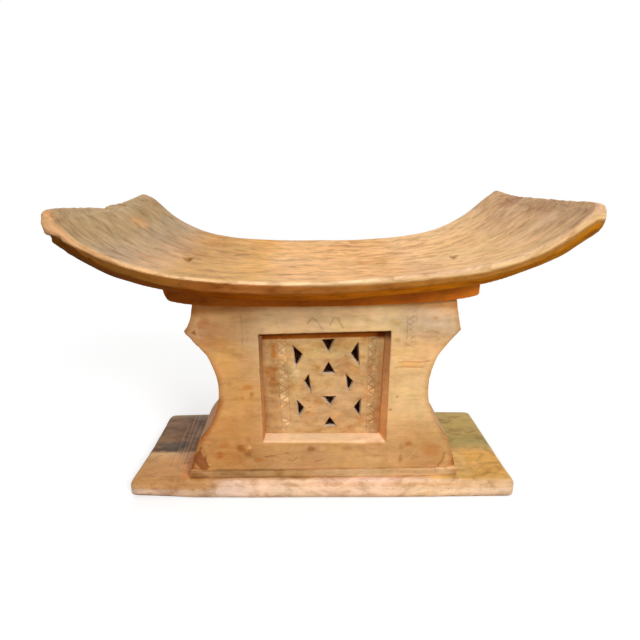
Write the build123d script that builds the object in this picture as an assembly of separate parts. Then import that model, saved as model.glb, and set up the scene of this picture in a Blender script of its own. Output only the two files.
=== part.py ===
from build123d import *
import os
from math import atan, cos, degrees, radians, sin, sqrt

# A low Asante stool: a dished seat that turns up at both ends, carried on a
# hollow, waisted support with a pierced panel in its front and back, on a
# stepped base. Millimetres, +X along the seat, +Y towards the back, +Z up.
# The origin is on the floor under the middle of the stool.

# ---- seat: its rim is a flat arc that turns up in a tight arc at each end ----
SEAT_LENGTH = 560.0        # over the two turned-up ends
SEAT_DEPTH = 300.0
RIM_HEIGHT = 299.0         # rim above the floor, at mid-length
CENTRE_RADIUS = 1050.0     # long flat arc over the support
TURN_UP_RADIUS = 193.0     # tight arc out at each end
TURN_UP_SLOPE = 8.3        # degrees of slope where the two arcs meet
TIP_SLOPE = 48.0           # degrees; past this slope the ends run straight
SEAT_THICKNESS = 22.0      # at the rim
EDGE_BEVEL = 10.0          # 45 degree bevel under the front and back edges
RIM_WIDTH = 5.0            # level strip between the edge and the dish
RIM_ROUND = 3.0
DISH_SAG = 9.0             # depth of the dish across the seat
TIP_TOP_ROUND = 5.0        # rounding over the top of each end
TIP_UNDER_ROUND = 8.0      # and under it

# ---- cleat: the block that spreads the support under the seat ----
CLEAT_END_OVERHANG = 20.0  # past the support's neck, at each end
CLEAT_OVERHANG = 12.0      # and at the front and back
CLEAT_THICKNESS = 20.0
CLEAT_ROUND = 3.0          # lower corners of its ends

# ---- support: hollow column with scalloped ends ----
SUPPORT_DEPTH = 169.0
NECK_WIDTH = 317.0         # at the top of the support
SHOULDER_WIDTH = 329.0     # upper corners of the scallops
WAIST_WIDTH = 260.4
SPUR_WIDTH = 319.0         # lower corners of the scallops
FOOT_WIDTH = 347.0         # where the support meets the plinth
SHOULDER_DROP = 31.5       # shoulders below the top of the support
WAIST_HEIGHT = 116.0       # waist above the plinth
SPUR_HEIGHT = 43.5         # spurs above the plinth
TOE_RUN = 18.0             # toe facet along the front of the foot
TOE_RISE = 18.0            # and up the support's corner
TOE_SET_BACK = 6.0         # and back from the front

# ---- inside of the support ----
HOLLOW_WIDTH = 184.0
WALL = 22.0                # front and back walls
CROWN = 16.0               # wood left between the hollow and the cleat
HOLLOW_CORNER_RADIUS = 12.0

# ---- windows in the front and back, and the panels seated behind them ----
WINDOW_WIDTH = 158.6
WINDOW_HEIGHT = 147.0
WINDOW_SILL = 40.4         # above the plinth
RECESS = 11.0              # from the support's face to the panel's face
REVEAL_SPLAY = 4.5         # how far the reveal slopes in over the recess
PANEL_LIP = 6.0            # panel hidden behind the reveal, all round
PANEL_THICKNESS = WALL - RECESS

# ---- piercings: an X of four triangles, a square, and another X ----
LATTICE_SHIFT = 5.5        # pattern's centre line, right of the panel's
UPPER_X = 37.0             # centre of the upper X, above the square's
LOWER_X = 36.0             # centre of the lower X, below it
SQUARE_RISE = 3.0          # centre of the square, above the panel's centre
OUTER_SIDE = 40.3          # centre line to the upright edges in both Xs
INNER_SIDE = 22.6          # and to the upright edges beside the square
SIDE_BASE = 28.0           # triangles at the sides: upright edge
SIDE_POINT = 9.0           # and how far their points stand out
MIDDLE_BASE = 15.5         # triangles on the centre line: level edge
MIDDLE_POINT = 12.5
X_REACH = 21.0             # centre of an X to the level edge of its triangles
PIERCING_SPLAY = 1.4       # how much wider each cut is at the face

# ---- plinth and base ----
PLINTH_END_STEP = 1.0      # past the support's foot, at each end
PLINTH_STEP = 2.0          # and at the front and back
PLINTH_THICKNESS = 11.0
PLINTH_ROUND = 2.0
BASE_LENGTH = 494.0
BASE_DEPTH = 200.0         # at mid-length, over the bowed front and back
BASE_BOW = 5.0             # bow of the front and back edges
BASE_THICKNESS = 24.5
BASE_TOP_ROUND = 8.0
BASE_UNDER_ROUND = 5.0
BASE_CORNER_RADIUS = 10.0
MOUTH_LEDGE = 17.0         # underside opening, smaller than the hollow all round
MOUTH_ROUND = 3.0

# ---- joints between the pieces ----
TENON_LENGTH = 120.0       # solid tenon, up through the cleat into the seat
TENON_DEPTH = 80.0
TENON_INTO_SEAT = 5.0
TONGUE_WALL = 12.0         # hollow tongue, down through the plinth into the base
TONGUE_INTO_BASE = 12.0
FIT = 0.15                 # clearance at every side of a tenon or panel
END_GAP = 0.5              # clearance past the end of a tenon

# ---- levels that follow from the sizes above ----
PLINTH_TOP = BASE_THICKNESS + PLINTH_THICKNESS
CLEAT_UNDER = SEAT_THICKNESS + CLEAT_THICKNESS
SUPPORT_TOP = RIM_HEIGHT - CLEAT_UNDER
CLEAT_LENGTH = NECK_WIDTH + 2 * CLEAT_END_OVERHANG
CLEAT_DEPTH = SUPPORT_DEPTH + 2 * CLEAT_OVERHANG
WINDOW_CENTRE = PLINTH_TOP + WINDOW_SILL + WINDOW_HEIGHT / 2
HOLLOW_TOP = SUPPORT_TOP - CROWN
HOLLOW_DEPTH = SUPPORT_DEPTH - 2 * WALL
PANEL_WIDTH = WINDOW_WIDTH - 2 * REVEAL_SPLAY + 2 * PANEL_LIP
PANEL_HEIGHT = WINDOW_HEIGHT - 2 * REVEAL_SPLAY + 2 * PANEL_LIP
TONGUE_LENGTH = HOLLOW_WIDTH + 2 * TONGUE_WALL
TONGUE_DEPTH = HOLLOW_DEPTH + 2 * TONGUE_WALL
TONGUE_FOOT = BASE_THICKNESS - TONGUE_INTO_BASE
PLINTH_LENGTH = FOOT_WIDTH + 2 * PLINTH_END_STEP
PLINTH_DEPTH = SUPPORT_DEPTH + 2 * PLINTH_STEP
MOUTH_LENGTH = HOLLOW_WIDTH - 2 * MOUTH_LEDGE
MOUTH_DEPTH = HOLLOW_DEPTH - 2 * MOUTH_LEDGE
OVERRUN = 10.0             # how far a cutter runs past what it cuts


# ---- the seat curve, drawn in front view as (x, z) ----

def seat_curve(drop):
    """Line, arc, arc, arc and line from left to right, drop below the rim."""
    shift = CENTRE_RADIUS - TURN_UP_RADIUS
    slope = radians(TURN_UP_SLOPE)
    x = shift * sin(slope)
    z = RIM_HEIGHT + CENTRE_RADIUS - shift * cos(slope)
    turn = TIP_SLOPE - TURN_UP_SLOPE
    radius = TURN_UP_RADIUS + drop
    left = CenterArc((-x, z), radius, 270 - TIP_SLOPE, turn)
    middle = CenterArc((0, RIM_HEIGHT + CENTRE_RADIUS), CENTRE_RADIUS + drop,
                       270 - TURN_UP_SLOPE, 2 * TURN_UP_SLOPE)
    right = CenterArc((x, z), radius, 270 + TURN_UP_SLOPE, turn)
    run = Vector(cos(radians(TIP_SLOPE)), sin(radians(TIP_SLOPE))) * SEAT_LENGTH / 2
    left_tip = Line((left @ 0) + Vector(-run.X, run.Y), left @ 0)
    right_tip = Line(right @ 1, (right @ 1) + run)
    return [left_tip, left, middle, right, right_tip]


def seat_band(upper_drop, lower_drop, length):
    """Face between two parallels of the seat curve, cut to length."""
    upper = seat_curve(upper_drop)
    lower = seat_curve(lower_drop)
    left_end = Line(upper[0] @ 0, lower[0] @ 0)
    right_end = Line(upper[-1] @ 1, lower[-1] @ 1)
    band = make_face(upper + lower + [left_end, right_end])
    return band & (Pos(0, RIM_HEIGHT) * Rectangle(length, 2 * SEAT_LENGTH))


def end_corners(face, lower):
    """The corners at both ends of a band, the lower or the upper ones."""
    reach = max(v.X for v in face.vertices())
    ends = [v for v in face.vertices() if abs(v.X) > reach - FIT]
    ends = sorted(ends, key=lambda v: v.Y)
    return ends[:2] if lower else ends[-2:]


def upright(face, depth):
    """A front-view face drawn in x and z, extruded evenly to front and back."""
    return extrude(Plane.XZ * face, depth / 2, both=True)


# ---- small shared forms ----

def block(length, depth, low, high, radius=0.0):
    """Upright block centred on the stool, with its vertical corners rounded."""
    if radius > 0:
        outline = RectangleRounded(length, depth, radius)
    else:
        outline = Rectangle(length, depth)
    return extrude(Plane.XY.offset(low) * outline, high - low)


def both_sides(shape):
    """A shape at the front and its mirror image at the back."""
    return shape + mirror(shape, Plane.XZ)


# ---- seat ----

def along_seat(section):
    """A section, drawn square to the rim as (y, height), swept along the rim."""
    path = Plane.XZ * Wire(seat_curve(0))
    start = Plane(origin=path @ 0, x_dir=(0, 1, 0), z_dir=path % 0)
    return sweep(start * section, path=path)


def dish_cutter():
    """Cutter whose arc meets the rim's inner edges and runs on above them."""
    half = SEAT_DEPTH / 2 - RIM_WIDTH
    radius = (half ** 2 + DISH_SAG ** 2) / (2 * DISH_SAG)
    rise = DISH_SAG + OVERRUN
    reach = sqrt(rise * (2 * radius - rise))
    return along_seat(make_face([
        ThreePointArc((-reach, OVERRUN), (0, -DISH_SAG), (reach, OVERRUN)),
        Line((reach, OVERRUN), (-reach, OVERRUN)),
    ]))


def bevel_cutter():
    """Cutter for the bevel under the back edge."""
    edge = SEAT_DEPTH / 2 + OVERRUN
    low = -SEAT_THICKNESS - OVERRUN
    high = EDGE_BEVEL - SEAT_THICKNESS + OVERRUN
    inner = SEAT_DEPTH / 2 - EDGE_BEVEL - OVERRUN
    return along_seat(make_face(Polyline(
        (edge, high), (edge, low), (inner, low), (edge, high))))


def make_seat():
    profile = seat_band(0, SEAT_THICKNESS, SEAT_LENGTH)
    profile = fillet(end_corners(profile, lower=False), TIP_TOP_ROUND)
    profile = fillet(end_corners(profile, lower=True), TIP_UNDER_ROUND)
    board = upright(profile, SEAT_DEPTH)
    outline = [e for e in board.edges() if abs(e.center().Y) > SEAT_DEPTH / 2 - FIT]
    board = fillet(outline, RIM_ROUND)
    seat = board - dish_cutter() - both_sides(bevel_cutter())
    mortise_top = RIM_HEIGHT - SEAT_THICKNESS + TENON_INTO_SEAT + END_GAP
    return seat - block(TENON_LENGTH + 2 * FIT, TENON_DEPTH + 2 * FIT, 0, mortise_top)


# ---- cleat ----

def make_cleat():
    profile = seat_band(SEAT_THICKNESS, CLEAT_UNDER, CLEAT_LENGTH)
    profile = fillet(end_corners(profile, lower=True), CLEAT_ROUND)
    cleat = upright(profile, CLEAT_DEPTH)
    return cleat - block(TENON_LENGTH + 2 * FIT, TENON_DEPTH + 2 * FIT, 0, RIM_HEIGHT)


# ---- support ----

def support_outline():
    """Front view: neck, shoulders, scalloped sides, spurs and foot."""
    shoulder = SUPPORT_TOP - SHOULDER_DROP
    waist = PLINTH_TOP + WAIST_HEIGHT
    spur = PLINTH_TOP + SPUR_HEIGHT
    lean = (SHOULDER_WIDTH - NECK_WIDTH) / SHOULDER_DROP
    neck = NECK_WIDTH - lean * (RIM_HEIGHT - SUPPORT_TOP)
    right = [
        Line((FOOT_WIDTH / 2, PLINTH_TOP), (SPUR_WIDTH / 2, spur)),
        ThreePointArc((SPUR_WIDTH / 2, spur), (WAIST_WIDTH / 2, waist),
                      (SHOULDER_WIDTH / 2, shoulder)),
        Polyline((SHOULDER_WIDTH / 2, shoulder), (neck / 2, RIM_HEIGHT), (0, RIM_HEIGHT)),
    ]
    left = [mirror(edge, Plane.YZ) for edge in right]
    foot = Line((-FOOT_WIDTH / 2, PLINTH_TOP), (FOOT_WIDTH / 2, PLINTH_TOP))
    column = make_face(right + left + [foot])
    return column - seat_band(-CLEAT_UNDER, CLEAT_UNDER, CLEAT_LENGTH)


def toe_facet():
    """Corner cut off the support's foot, front right."""
    x = FOOT_WIDTH / 2
    y = -SUPPORT_DEPTH / 2
    lean = (FOOT_WIDTH - SPUR_WIDTH) / 2 / SPUR_HEIGHT
    along = Vector(x - TOE_RUN, y, PLINTH_TOP)
    up = Vector(x - lean * TOE_RISE, y, PLINTH_TOP + TOE_RISE)
    back = Vector(x, y + TOE_SET_BACK, PLINTH_TOP)
    outward = (back - along).cross(up - along)
    facet = Plane(origin=(along + up + back) / 3, z_dir=outward)
    return extrude(facet * Rectangle(4 * TOE_RUN, 4 * TOE_RUN), TOE_RUN)


def window_cut():
    """Splayed window in the front wall, with the panel's rebate behind it."""
    face = Plane.XZ.offset(SUPPORT_DEPTH / 2) * Pos(0, WINDOW_CENTRE)
    reveal = extrude(face * Rectangle(WINDOW_WIDTH, WINDOW_HEIGHT), -RECESS,
                     taper=degrees(atan(REVEAL_SPLAY / RECESS)))
    rebate = Pos(0, RECESS, 0) * face * Rectangle(PANEL_WIDTH + 2 * FIT,
                                                  PANEL_HEIGHT + 2 * FIT)
    return reveal + extrude(rebate, -PANEL_THICKNESS)


def make_support():
    column = upright(support_outline(), SUPPORT_DEPTH)
    tenon = block(TENON_LENGTH, TENON_DEPTH, HOLLOW_TOP,
                  RIM_HEIGHT - SEAT_THICKNESS + TENON_INTO_SEAT)
    tongue = block(TONGUE_LENGTH, TONGUE_DEPTH, TONGUE_FOOT, PLINTH_TOP,
                   HOLLOW_CORNER_RADIUS)
    hollow = block(HOLLOW_WIDTH, HOLLOW_DEPTH, TONGUE_FOOT, HOLLOW_TOP,
                   HOLLOW_CORNER_RADIUS)
    toes = both_sides(toe_facet() + mirror(toe_facet(), Plane.YZ))
    return column + tenon + tongue - hollow - both_sides(window_cut()) - toes


# ---- panels ----

def pointed(base_centre, base, point):
    """Triangle with its base centred at base_centre and its point at point."""
    middle = Vector(*base_centre)
    tip = Vector(*point)
    along = (tip - middle).normalized().rotate(Axis.Z, 90) * (base / 2)
    return make_face(Polyline(middle - along, tip, middle + along, middle - along))


def piercings():
    """The ten triangles, drawn round the centre of the square."""
    triangles = []
    for centre in (UPPER_X, -LOWER_X):
        for way in (-1, 1):
            edge = way * OUTER_SIDE
            triangles.append(pointed((edge, centre), SIDE_BASE,
                                     (edge - way * SIDE_POINT, centre)))
            level = centre + way * X_REACH
            triangles.append(pointed((0, level), MIDDLE_BASE,
                                     (0, level - way * MIDDLE_POINT)))
    for way in (-1, 1):
        edge = way * INNER_SIDE
        triangles.append(pointed((edge, 0), SIDE_BASE, (edge + way * SIDE_POINT, 0)))
    return triangles


def make_panel():
    """Front panel; its face is RECESS behind the support's face."""
    face = Plane.XZ.offset(SUPPORT_DEPTH / 2 - RECESS) * Pos(0, WINDOW_CENTRE)
    panel = extrude(face * Rectangle(PANEL_WIDTH, PANEL_HEIGHT), -PANEL_THICKNESS)
    taper = degrees(atan(PIERCING_SPLAY / PANEL_THICKNESS))
    for triangle in piercings():
        cut = face * Pos(LATTICE_SHIFT, SQUARE_RISE) * triangle
        panel -= extrude(cut, -PANEL_THICKNESS, taper=taper)
    return panel


# ---- plinth and base ----

def make_plinth():
    plinth = block(PLINTH_LENGTH, PLINTH_DEPTH, BASE_THICKNESS, PLINTH_TOP)
    top = plinth.faces().sort_by(Axis.Z)[-1]
    plinth = fillet(top.edges(), PLINTH_ROUND)
    mortise = block(TONGUE_LENGTH + 2 * FIT, TONGUE_DEPTH + 2 * FIT,
                    0, PLINTH_TOP, HOLLOW_CORNER_RADIUS + FIT)
    return plinth - mortise


def base_outline():
    """Plan of the base: straight ends, gently bowed front and back."""
    x = BASE_LENGTH / 2
    y = BASE_DEPTH / 2
    corner = y - BASE_BOW
    outline = make_face([
        ThreePointArc((-x, -corner), (0, -y), (x, -corner)),
        Line((x, -corner), (x, corner)),
        ThreePointArc((x, corner), (0, y), (-x, corner)),
        Line((-x, corner), (-x, -corner)),
    ])
    return fillet(outline.vertices(), BASE_CORNER_RADIUS)


def make_base():
    base = extrude(base_outline(), BASE_THICKNESS)
    base = fillet(base.faces().sort_by(Axis.Z)[-1].edges(), BASE_TOP_ROUND)
    base = fillet(base.faces().sort_by(Axis.Z)[0].edges(), BASE_UNDER_ROUND)
    mortise = block(TONGUE_LENGTH + 2 * FIT, TONGUE_DEPTH + 2 * FIT,
                    TONGUE_FOOT - END_GAP, BASE_THICKNESS, HOLLOW_CORNER_RADIUS + FIT)
    mouth = block(MOUTH_LENGTH, MOUTH_DEPTH, 0, BASE_THICKNESS, HOLLOW_CORNER_RADIUS)
    base = base - mortise - mouth
    underside = base.faces().sort_by(Axis.Z)[0]
    return fillet(underside.inner_wires()[0].edges(), MOUTH_ROUND)


def main():
    panel = make_panel()
    pieces = {
        "seat": make_seat(),
        "seat_cleat": make_cleat(),
        "support": make_support(),
        "front_panel": panel,
        "back_panel": panel.rotate(Axis.Z, 180),
        "plinth": make_plinth(),
        "base": make_base(),
    }
    os.makedirs("parts", exist_ok=True)
    for name, solid in pieces.items():
        export_step(solid, f"parts/{name}.step")


main()
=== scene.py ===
import math

import bmesh
import bpy
import numpy as np
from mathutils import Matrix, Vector


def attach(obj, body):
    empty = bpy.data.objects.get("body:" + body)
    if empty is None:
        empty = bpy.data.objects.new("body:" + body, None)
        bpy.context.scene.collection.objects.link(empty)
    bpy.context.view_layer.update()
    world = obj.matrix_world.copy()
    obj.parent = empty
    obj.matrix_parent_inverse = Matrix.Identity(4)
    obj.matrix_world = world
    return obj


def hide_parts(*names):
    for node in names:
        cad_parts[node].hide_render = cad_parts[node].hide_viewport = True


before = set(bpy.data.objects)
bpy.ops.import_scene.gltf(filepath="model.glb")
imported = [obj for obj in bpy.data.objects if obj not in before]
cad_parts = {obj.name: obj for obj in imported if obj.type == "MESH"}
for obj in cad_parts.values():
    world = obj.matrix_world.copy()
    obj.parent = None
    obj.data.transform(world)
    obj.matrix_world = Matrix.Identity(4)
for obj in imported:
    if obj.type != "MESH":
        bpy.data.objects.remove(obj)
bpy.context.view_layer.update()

# The dressed Asante stool. The two panels are pierced anew, because no two holes are alike, and the
# other CAD nodes are copied. All are remeshed finely, then given what a carver and long use left on
# them: the seat's slight twist, uneven edges, tool marks, carved bands, pits, grooves and chips.
# Lengths here are millimetres in the frame of the CAD; objects are in metres.
MM = 0.001
HALF_LENGTH, HALF_DEPTH, TOP = 280.0, 150.0, 378.0     # of the seat, and so of the stool

# ------------------------------------------------------------------ noise and curves


def lattice(ix, iy, iz, seed):
    """Repeatable random numbers from -1 to 1 at whole-numbered points."""
    h = (ix * 73856093) ^ (iy * 19349663) ^ (iz * 83492791) ^ (seed * 40503)
    h &= 0xFFFFFFFF
    h = ((h ^ (h >> 13)) * 1274126177) & 0xFFFFFFFF
    return ((h ^ (h >> 16)) & 0xFFFF) / 32767.5 - 1.0


def noise(points, size, seed):
    """Smooth noise from -1 to 1 with features of about size, one number or one per axis."""
    p = points / np.asarray(size, float) + 0.37 * seed
    cell = np.floor(p).astype(np.int64)
    f = p - cell
    f = f * f * (3 - 2 * f)
    total = np.zeros(len(points))
    for corner in range(8):
        step = np.array([corner & 1, corner >> 1 & 1, corner >> 2 & 1])
        weight = np.prod(np.where(step == 1, f, 1 - f), axis=1)
        c = cell + step
        total += weight * lattice(c[:, 0], c[:, 1], c[:, 2], seed)
    return total


def fractal(points, size, seed, octaves=3):
    total = np.zeros(len(points))
    for k in range(octaves):
        total += noise(points, np.asarray(size, float) / 2 ** k, seed + 7 * k) / 2 ** k
    return total / (2 - 2 ** (1 - octaves))


def ramp(value, low, high):
    """0 below low, 1 above high, smooth between; low may be above high."""
    t = np.clip((value - low) / (high - low), 0, 1)
    return t * t * (3 - 2 * t)


def span(value, a, b, c, d):
    """0 below a, 1 from b to c, 0 above d, smooth between."""
    return ramp(value, a, b) * ramp(value, d, c)


def smooth_curve(knots, blur):
    """A function through (position, value) pairs, rounded over about blur millimetres."""
    xs, vs = zip(*knots)
    grid = np.arange(xs[0] - 4 * blur, xs[-1] + 4 * blur)
    kernel = np.exp(-0.5 * (np.arange(-3 * blur, 3 * blur + 1) / blur) ** 2)
    table = np.convolve(np.pad(np.interp(grid, xs, vs), 3 * blur, mode="edge"),
                        kernel / kernel.sum(), mode="valid")
    return lambda x: np.interp(x, grid, table)


def to_lines(a, b, points):
    """Distance in a plane from (a, b) to the broken line through points."""
    best = np.full(len(a), 1e9)
    for (ax, bx), (cx, dx) in zip(points[:-1], points[1:]):
        ux, uy = cx - ax, dx - bx
        t = np.clip(((a - ax) * ux + (b - bx) * uy) / (ux * ux + uy * uy), 0, 1)
        best = np.minimum(best, np.hypot(a - ax - t * ux, b - bx - t * uy))
    return best


def vee(distance, half_width):
    """Profile of a cut: 1 on its line, 0 at half_width from it."""
    return np.clip(1 - distance / half_width, 0, 1)


def cuts(a, b, half_width, *lines):
    """Profile of the cuts along some broken lines."""
    return np.maximum.reduce([vee(to_lines(a, b, line), half_width) for line in lines])


def in_triangles(x, z, triangles, margin, soft=0.3):
    """1 where (x, z) is inside a triangle grown by margin."""
    found = np.zeros(len(x))
    for triangle in triangles:
        t = np.array(triangle)
        centre = t.mean(axis=0)
        worst = np.full(len(x), -1e9)
        for k in range(3):
            a, b = t[k], t[(k + 1) % 3]
            out = np.array([b[1] - a[1], a[0] - b[0]])
            out = out / np.linalg.norm(out)
            if np.dot(centre - a, out) > 0:
                out = -out
            worst = np.maximum(worst, (x - a[0]) * out[0] + (z - a[1]) * out[1])
        found = np.maximum(found, ramp(worst, margin + soft, margin - soft))
    return found


# ------------------------------------------------------------------ the hand-made differences

RIM_HEIGHT = 299.0              # at the middle
CENTRE_RADIUS = 1050.0
TURN_UP_RADIUS = 193.0
TURN_UP_SLOPE = math.radians(8.3)
TURN_UP_REACH = 0.743 * TURN_UP_RADIUS      # level reach of the tight arc
SAFE_HALF = 200                             # the flat arc is drawn to here, and used less far


def rim_height(x):
    """Height of the CAD seat's rim."""
    shift = CENTRE_RADIUS - TURN_UP_RADIUS
    cx = shift * math.sin(TURN_UP_SLOPE)
    cz = RIM_HEIGHT + CENTRE_RADIUS - shift * math.cos(TURN_UP_SLOPE)
    u = np.clip(np.abs(x) - cx, 0, TURN_UP_REACH)
    tight = cz - np.sqrt(TURN_UP_RADIUS ** 2 - u ** 2)
    middle = np.clip(x, -SAFE_HALF, SAFE_HALF)
    flat = RIM_HEIGHT + CENTRE_RADIUS - np.sqrt(CENTRE_RADIUS ** 2 - middle ** 2)
    return np.where(np.abs(x) > CENTRE_RADIUS * math.sin(TURN_UP_SLOPE), tight, flat)


# how much higher the real rims and the cleat's underside are than the CAD's, along x
NEAR_RIM = smooth_curve([(-284, 0), (-266, 0), (-248, -7.5), (-220, -6.5), (-176, -4.0), (-107, -3.2),
                         (-57, -1.6), (0, 0.0), (78, 2.9), (140, 3.8), (181, 3.5), (222, 1.2),
                         (250, -2.5), (266, -2), (284, -1.5)], 9)
FAR_RIM = smooth_curve([(-284, -16), (-275, -8), (-268, 0), (-260, 7), (-252, 8), (-240, 5),
                        (-226, 2), (-190, -0.2), (-127, -1.2), (-64, 1.2), (0, 2.5), (64, 1.4),
                        (128, 0.1), (191, 1), (216, 2.1), (240, 4.2), (256, 6), (272, 1),
                        (284, -3)], 6)
CLEAT_UNDER = smooth_curve([(-190, -6), (-153, -7.2), (-110, -3.6), (-70, -0.8), (0, 1.6), (80, 0.6),
                            (153, -2.4), (190, -0.8)], 12)
# along y: how much higher the top edges of the two ends are
LEFT_EDGE = smooth_curve([(-150, -3.0), (-120, -2.6), (-80, -2.4), (-48, -0.9), (-28, -0.4),
                          (-8, -1.2), (10, -3.0), (26, -1.8), (48, -2.2), (71, -2.9), (97, -2.1),
                          (130, -1.2), (150, -0.5)], 6)
RIGHT_EDGE = smooth_curve([(-150, 0.5), (-117, 1.9), (-93, 1.6), (-70, 2.4), (-36, 4.4), (0, 4.5),
                           (32, 3), (73, -1.0), (100, -1.6), (150, -1)], 8)
# along x: how much lower the worn near rim is on the left, and how much higher the seat's
# underside is at its near edge
NEAR_WORN = smooth_curve([(-284, 0), (-276, 0.8), (-269, 2.8), (-262, 5.8), (-255, 6.4), (-246, 3.8),
                          (-236, 1.6), (-213, 0.9), (-180, 0.2), (-150, 0), (284, 0)], 5)
NEAR_UNDER = smooth_curve([(-282, -12), (-274, -10.5), (-266, -7.0), (-256, -3.7), (-246, -1.0),
                           (-236, 0.4), (-222, 1.0), (-205, 2.0), (-165, 2.2), (-120, 0), (170, 0),
                           (200, 2.0), (235, 1.6), (252, 0.6), (268, 0.6), (282, -1)], 4)
# half width of the support, along z
scallop = smooth_curve([(36, 173.5), (79, 159.5), (90, 152), (110, 141), (130, 133), (151.5, 130.2),
                        (172, 133), (192, 141), (210, 152), (225.5, 164.5), (257, 158.5)], 3)

# along x: how far down the edge's face its rubbed pale band reaches, and the colour factors of the
# rim with its painted highlight, of that band, of the face below it and of the bevel in painted shade
EDGE_BAND = ((-238, 4.6), (-213, 2.2), (-180, 0.7), (-108, 0.1), (-6, 3.0), (107, 5.8), (235, 6.9),
             (265, 8.6))
EDGE_RIM_HIGHLIGHT = ((-262, (0.86, 0.85, 0.88)), (-238, (1.12, 1.20, 1.40)), (-180, (1.04, 1.05, 1.06)),
            (-108, (1.22, 1.40, 1.68)), (-6, (1.24, 1.52, 1.98)), (107, (1.14, 1.24, 1.70)),
            (235, (1.0, 1.07, 1.34)))
EDGE_PALE = ((-240, (0.95, 0.88, 0.90)), (-180, (0.90, 0.82, 0.82)), (-108, (0.66, 0.62, 0.68)),
             (-6, (0.52, 0.50, 0.47)), (107, (0.98, 1.04, 1.08)), (235, (0.98, 1.02, 1.05)))
EDGE_FACE = ((-205, (0.26, 0.165, 0.058)), (-165, (0.34, 0.20, 0.07)), (-100, (0.44, 0.25, 0.12)),
             (0, (0.436, 0.248, 0.096)), (103, (0.52, 0.345, 0.128)), (245, (0.50, 0.35, 0.135)))
EDGE_BEVEL_SHADE = ((-240, (0.27, 0.138, 0.013)), (-165, (0.36, 0.15, 0.010)), (-100, (0.48, 0.18, 0.006)),
              (0, (0.68, 0.31, 0.022)), (103, (0.83, 0.41, 0.021)), (245, (0.69, 0.40, 0.023)))


def graded(x, table):
    """Colour at each x between the colours of a table."""
    places = [row[0] for row in table]
    return np.stack([np.interp(x, places, [row[1][k] for row in table]) for k in range(3)], axis=1)


def arc_length(x):
    """Length along the rim from the middle of the seat."""
    reach = HALF_LENGTH + 2
    grid = np.linspace(-reach, reach, 1129)
    steps = np.hypot(np.diff(grid), np.diff(rim_height(grid)))
    length = np.concatenate([[0], np.cumsum(steps)])
    return np.interp(x, grid, length - length[-1] / 2)


def rim_lift(x, y):
    """How much higher the real rims are than the CAD's, shared out over the seat's depth."""
    share = np.clip((y + HALF_DEPTH) / (2 * HALF_DEPTH), 0, 1)
    return NEAR_RIM(x) * (1 - share) + FAR_RIM(x) * share


def shared_warp(p):
    """The slow unevenness that the seat, the cleat and the support's top have in common."""
    seat_bottom = 42
    x, y, z = p.T
    drop = rim_height(x) - z
    seat = ramp(drop, seat_bottom, 22)
    under = np.where(drop > seat_bottom, ramp(z, 222, 252), 1.0)
    out = p.copy()
    out[:, 2] += rim_lift(x, y) * seat + CLEAT_UNDER(x) * (1 - seat) * under
    return out


# ------------------------------------------------------------------ meshes


def linked(name, data):
    """A new object, in the scene."""
    thing = bpy.data.objects.new(name, data)
    bpy.context.scene.collection.objects.link(thing)
    return thing


def evaluated_mesh(thing):
    graph = bpy.context.evaluated_depsgraph_get()
    return bpy.data.meshes.new_from_object(thing.evaluated_get(graph))


def fine(mesh, voxel, name):
    """An object of the mesh, closed and remeshed evenly."""
    bm = bmesh.new()
    bm.from_mesh(mesh)
    bmesh.ops.remove_doubles(bm, verts=bm.verts, dist=1e-6)
    bm.to_mesh(mesh)
    bm.free()
    piece = linked(name, mesh)
    remesh = piece.modifiers.new("even", "REMESH")
    remesh.mode = "VOXEL"
    remesh.voxel_size = voxel * MM * 1.0
    result = evaluated_mesh(piece)
    piece.modifiers.clear()
    piece.data = result
    result.materials.clear()
    result.polygons.foreach_set("use_smooth", [True] * len(result.polygons))
    return piece


def points_of(piece):
    co = np.empty(len(piece.data.vertices) * 3)
    piece.data.vertices.foreach_get("co", co)
    return co.reshape(-1, 3) / MM


def normals_of(piece):
    no = np.empty(len(piece.data.vertices) * 3, np.float32)
    piece.data.vertex_normals.foreach_get("vector", no)
    return no.reshape(-1, 3).astype(float)


def set_points(piece, p):
    piece.data.vertices.foreach_set("co", (p * MM).astype(np.float32).ravel())
    piece.data.update()


def relax(piece, rounds):
    """Evens out the mesh, which also wears its sharp edges a little."""
    bm = bmesh.new()
    bm.from_mesh(piece.data)
    for _ in range(rounds):
        bmesh.ops.smooth_vert(bm, verts=bm.verts, factor=0.5, use_axis_x=True, use_axis_y=True,
                              use_axis_z=True)
    bm.to_mesh(piece.data)
    bm.free()


def begin(node, voxel, rounds):
    """A fine, relaxed copy of the CAD node, with its points and normals."""
    piece = fine(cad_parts[node].data.copy(), voxel, node + "_piece")
    relax(piece, rounds)
    return piece, points_of(piece), normals_of(piece)


def paint(piece, tint, grain):
    """Stores at every vertex a colour factor and the place in the log, for the wood material."""
    layer = piece.data.color_attributes.new("tint", "FLOAT_COLOR", "POINT")
    rgba = np.ones((len(tint), 4), np.float32)
    rgba[:, :3] = np.clip(tint, 0, 4)
    layer.data.foreach_set("color", rgba.ravel())
    place = piece.data.attributes.new("grain", "FLOAT_VECTOR", "POINT")
    place.data.foreach_set("vector", (grain * MM).astype(np.float32).ravel())


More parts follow.
